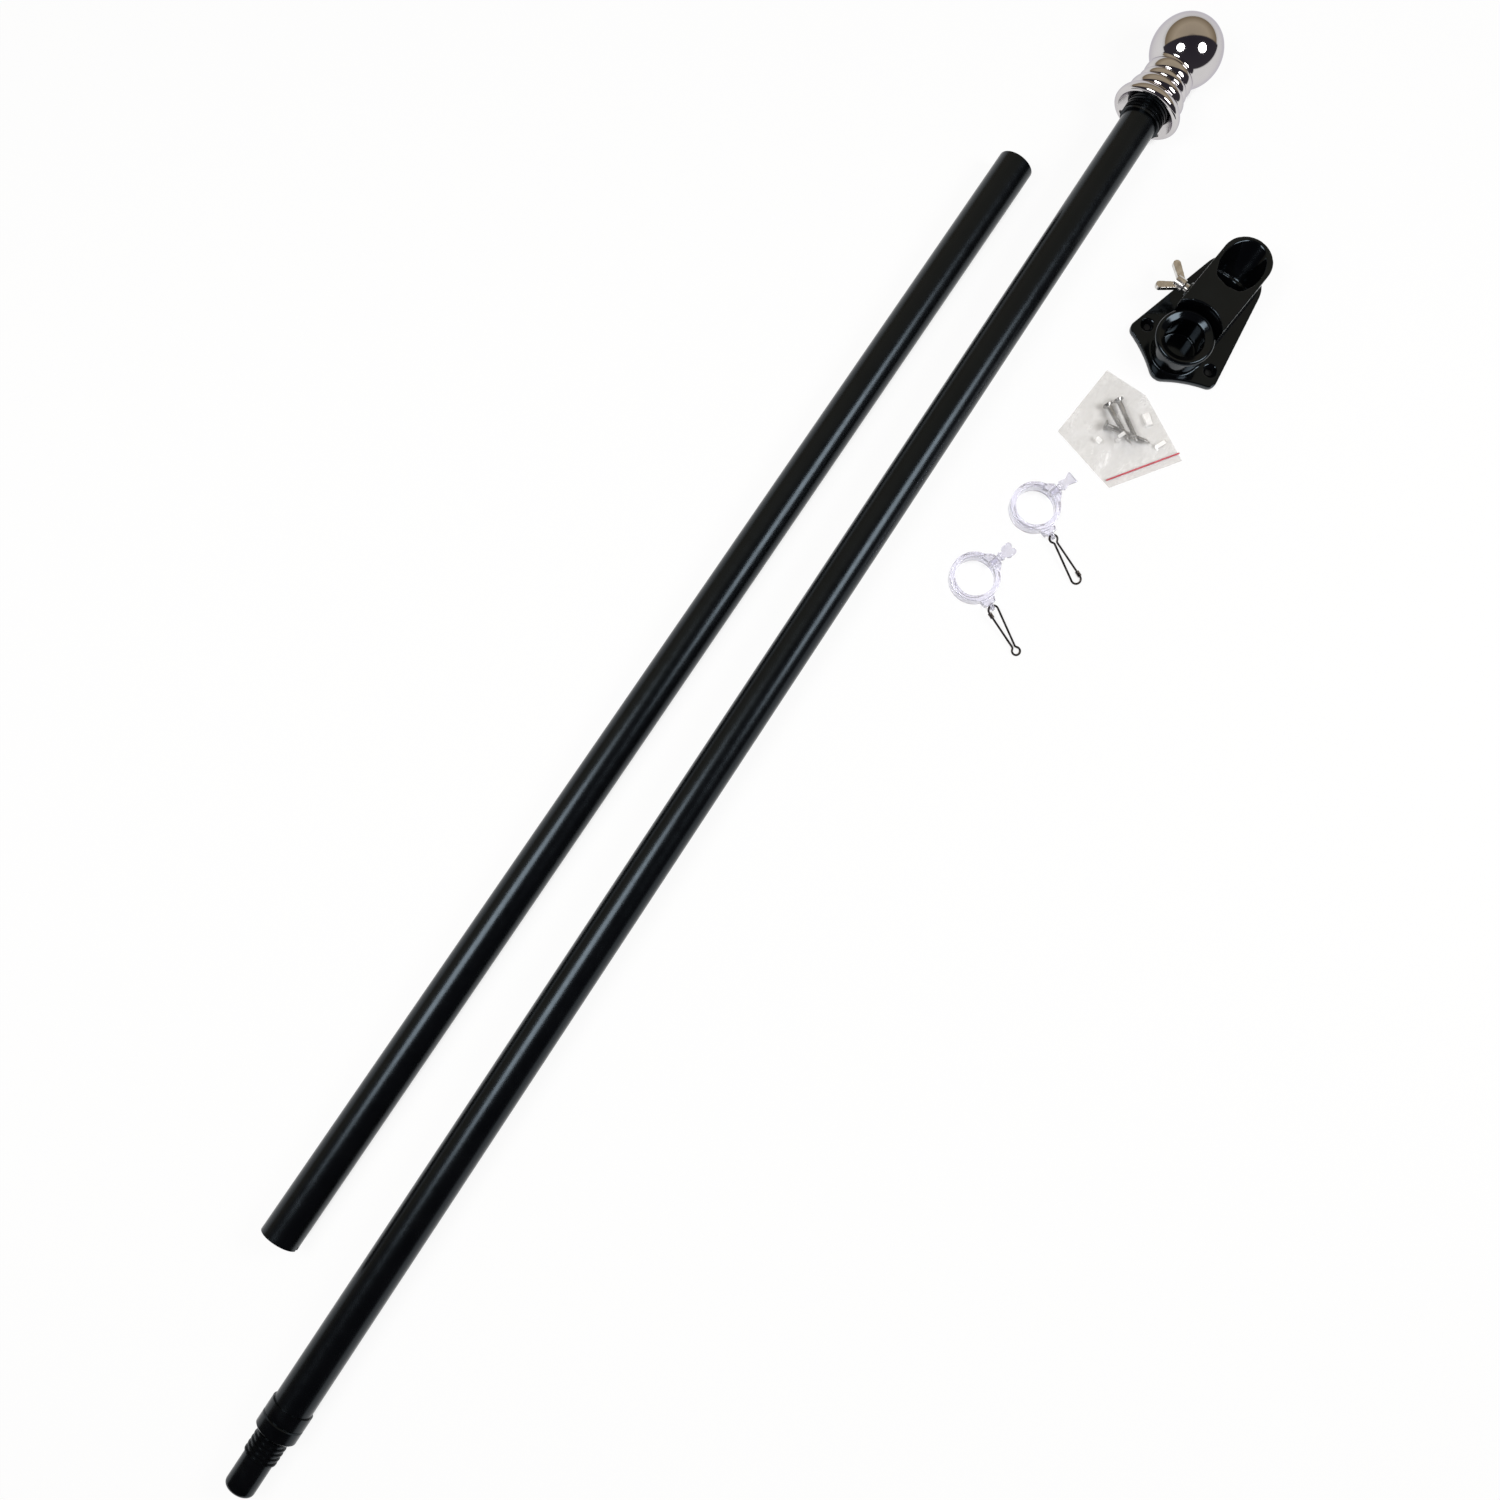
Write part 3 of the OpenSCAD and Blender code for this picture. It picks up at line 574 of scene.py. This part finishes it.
def sample(grid, x, y):
    """Height between the grid's places."""
    x0, y0, h = grid
    i = min(max(x - x0, 0), h.shape[0] - 1.001)
    j = min(max(y - y0, 0), h.shape[1] - 1.001)
    a, b = int(i), int(j)
    u, v = i - a, j - b
    return ((1 - u) * (1 - v) * h[a, b] + u * (1 - v) * h[a + 1, b]
            + (1 - u) * v * h[a, b + 1] + u * v * h[a + 1, b + 1])


def bag_boundary(count):
    """Points round the bag's edge at even spacing."""
    lengths = [math.dist(a, b) for a, b in sides]
    total = sum(lengths)
    out = []
    for ((ax, ay), (bx, by)), length in zip(sides, lengths):
        n = max(2, round(count * length / total))
        for k in range(n):
            out.append((ax + (bx - ax) * k / n, ay + (by - ay) * k / n))
    return out


def bag_film(name, node, base_z, height):
    """One film of the bag as a sheet of rings of points that shrink to its middle."""
    edge = bag_boundary(190)
    rings = 56
    mid = (22.0, 37.0)
    points = []
    for r in range(rings):
        share = 1 - r / rings
        for ex, ey in edge:
            x = mid[0] + (ex - mid[0]) * share
            y = mid[1] + (ey - mid[1]) * share
            points.append(in_bag @ (Vector((x, y, base_z + height(x, y))) * MM))
    points.append(in_bag @ (Vector((*mid, base_z + height(*mid))) * MM))
    n = len(edge)
    faces = ring_faces(rings, n)
    for k in range(n):
        faces.append(((rings - 1) * n + k, (rings - 1) * n + (k + 1) % n, rings * n))
    obj = mesh_object(name, points, faces, "bag_film")
    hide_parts(node)


grid = film_heights()


def front_height(x, y):
    """The membrane with its folds and small wrinkles, which die out at the seams and the zip."""
    highest = 11.7
    deepest_wrinkle = -0.2
    free = grow(edge_distance(x, y), 1.0, 6.0) * grow(y, 7.0, 5.0)
    fold = sum(crease(x, y, *c) for c in creases)
    broad = noise.noise(Vector((x * 0.16, y * 0.09, 3.1))) * 0.7
    fine = noise.noise(Vector((x * 0.4, y * 0.25, 7.7))) * 0.35
    edge_wave = 0.25 * noise.noise(Vector((x * 0.12, y * 0.12, 1.3)))
    rise = sample(grid, x, y) + free * (fold + max(broad + fine, deepest_wrinkle)) + max(edge_wave, 0)
    return min(rise, highest)


def back_height(x, y):
    """Small waves in the film that lies on the floor."""
    return 0.12 * max(0.0, noise.noise(Vector((x * 0.15, y * 0.15, 5.2))))


bag_film("bag_back", "bag_back_film", 0.1, back_height)
bag_film("bag_front", "bag_front_film", 0.55, front_height)

soften("bracket_casting", 0.45, 14)
soften("wing_screw", 0.25, 6)
for letter in "ab":
    soften(f"ring_{letter}", 0.35, 16)
    soften(f"ring_thumbscrew_{letter}", 0.25, 12)


# Floor, world, lamps and camera

def screw_holes():
    """The middles of the bracket's two screw holes, from the record's bolt pattern across the bracket."""
    bracket_turn = math.radians(-5.5)
    pattern = [m for m in frame["record"]["mounts"] if m["name"] == "bracket_screw_holes"][0]
    middle = Vector(pattern["pos_m"])
    half = Vector((0, pattern["dims"]["pcd_mm"] / 2 * MM, 0))
    across = Matrix.Rotation(bracket_turn, 3, "Z") @ half
    return [middle + across, middle - across]


def floor():
    size = 6.0
    below = -0.0002
    shadow_reach = 0.02
    hole_shade_r = 4.5 * MM
    mesh = bpy.data.meshes.new("floor")
    square = [(-size, -size, 0), (size, -size, 0), (size, size, 0), (-size, size, 0)]
    mesh.from_pydata(square, [], [(0, 1, 2, 3)])
    obj = bpy.data.objects.new("floor", mesh)
    obj.location.z = below
    scene.collection.objects.link(obj)
    mat, tree, shader = new_material("white_floor")
    tree.nodes.remove(shader)
    path = tree.nodes.new("ShaderNodeLightPath")
    seen = combine(tree, "MAXIMUM", path.outputs["Is Camera Ray"], path.outputs["Is Glossy Ray"])
    seen = combine(tree, "MAXIMUM", seen, path.outputs["Is Transmission Ray"])
    # Painted contact shade: where ambient occlusion finds the floor covered, its glow gives way to the lit
    # matte, so it darkens near the kit
    cover = tree.nodes.new("ShaderNodeAmbientOcclusion")
    cover.inputs["Distance"].default_value = shadow_reach
    open_floor = spread(tree, cover.outputs["AO"], 0.0, 0.93, 0.32, 0.46)
    # Painted shade: under the bracket's screw holes the floor is painted nearly black and does not glow
    away = []
    for place in screw_holes():
        away.append(spread(tree, patch(tree, place, 0.0, hole_shade_r, hole_shade_r), 1.0, 0.0, 0.0, 1.0))
    plain = combine(tree, "MINIMUM", *away)
    open_floor = combine(tree, "MINIMUM", open_floor, plain)
    matte = tree.nodes.new("ShaderNodeBsdfDiffuse")
    # Painted shade: the floor's colour falls to near black under the screw holes
    tone = ramp(tree, plain, [(0.0, (0.02, 0.02, 0.02)), (1.0, (0.9, 0.9, 0.9))])
    tree.links.new(tone, matte.inputs["Color"])
    glow = tree.nodes.new("ShaderNodeEmission")
    glow.inputs["Strength"].default_value = 1.0
    share = combine(tree, "MULTIPLY", seen, open_floor)
    both = mix_shader(tree, share, matte.outputs["BSDF"], glow.outputs["Emission"])
    tree.links.new(both, tree.nodes["Material Output"].inputs["Surface"])
    mesh.materials.append(mat)


def world():
    """White to the eye; round the object a pale horizon under a dim room, warm on the far side."""
    far_side = (0.83, 0.55, 0.0)
    sky = bpy.data.worlds.new("studio")
    scene.world = sky
    sky.use_nodes = True
    tree = sky.node_tree
    where = tree.nodes.new("ShaderNodeTexCoord")
    height = tree.nodes.new("ShaderNodeSeparateXYZ")
    tree.links.new(where.outputs["Generated"], height.inputs["Vector"])
    room = ramp(tree, height.outputs["Z"], [(0.0, (0.92, 0.92, 0.92)), (0.12, (0.8, 0.8, 0.78)),
                                            (0.16, (0.26, 0.2, 0.13)), (0.6, (0.5, 0.42, 0.31)),
                                            (0.95, (0.44, 0.37, 0.28)), (1.0, (0.2, 0.17, 0.14))])
    dim = ramp(tree, height.outputs["Z"], [(0.0, (0.92, 0.92, 0.92)), (0.02, (0.8, 0.8, 0.8)),
                                           (0.06, (0.045, 0.04, 0.05)), (1.0, (0.03, 0.026, 0.036))])
    ahead = tree.nodes.new("ShaderNodeVectorMath")
    ahead.operation = "DOT_PRODUCT"
    ahead.inputs[1].default_value = far_side
    tree.links.new(where.outputs["Generated"], ahead.inputs[0])
    far = spread(tree, ahead.outputs["Value"], 0.0, 1.0, 0.16, 0.22)
    back = tree.nodes["Background"]
    tree.links.new(mix_colour(tree, far, dim, room), back.inputs["Color"])
    white = tree.nodes.new("ShaderNodeBackground")
    white.inputs["Strength"].default_value = 1.0
    white.inputs["Color"].default_value = (1, 1, 1, 1)
    path = tree.nodes.new("ShaderNodeLightPath")
    both = mix_shader(tree, path.outputs["Is Camera Ray"], back.outputs["Background"],
                      white.outputs["Background"])
    tree.links.new(both, tree.nodes["World Output"].inputs["Surface"])


def lamp(name, place, aim, size, power):
    """Round area lamp at a place in metres, turned to its aim."""
    data = bpy.data.lights.new(name, "AREA")
    data.shape = "DISK"
    data.size = size
    data.energy = power
    obj = bpy.data.objects.new(name, data)
    scene.collection.objects.link(obj)
    obj.location = place
    obj.rotation_euler = (Vector(aim) - Vector(place)).to_track_quat("-Z", "Y").to_euler()


def camera():
    place = Vector((-0.1437, -0.0527, 0.9005))
    aim = Vector((-0.0265, 0.0249, 0))
    data = bpy.data.cameras.new("camera")
    data.sensor_width = 36.0
    data.lens = 33.6
    data.clip_start = 0.01
    obj = bpy.data.objects.new("camera", data)
    scene.collection.objects.link(obj)
    right = Vector((0.5521, -0.8338, 0.0)).normalized()
    forward = (aim - place).normalized()
    up = right.cross(forward).normalized()
    right = forward.cross(up).normalized()
    turn = Matrix((right, up, -forward)).transposed().to_4x4()
    obj.matrix_world = Matrix.Translation(place) @ turn
    scene.camera = obj


scene.view_settings.view_transform = "Standard"
floor()
world()
lamp("lamp_left", (-0.3, 0.46, 1.15), (0.05, 0.0, 0.0), size=0.6, power=10.0)
lamp("lamp_right", (0.54, -0.79, 1.0), (0.1, 0.0, 0.0), size=0.6, power=10.0)
camera()
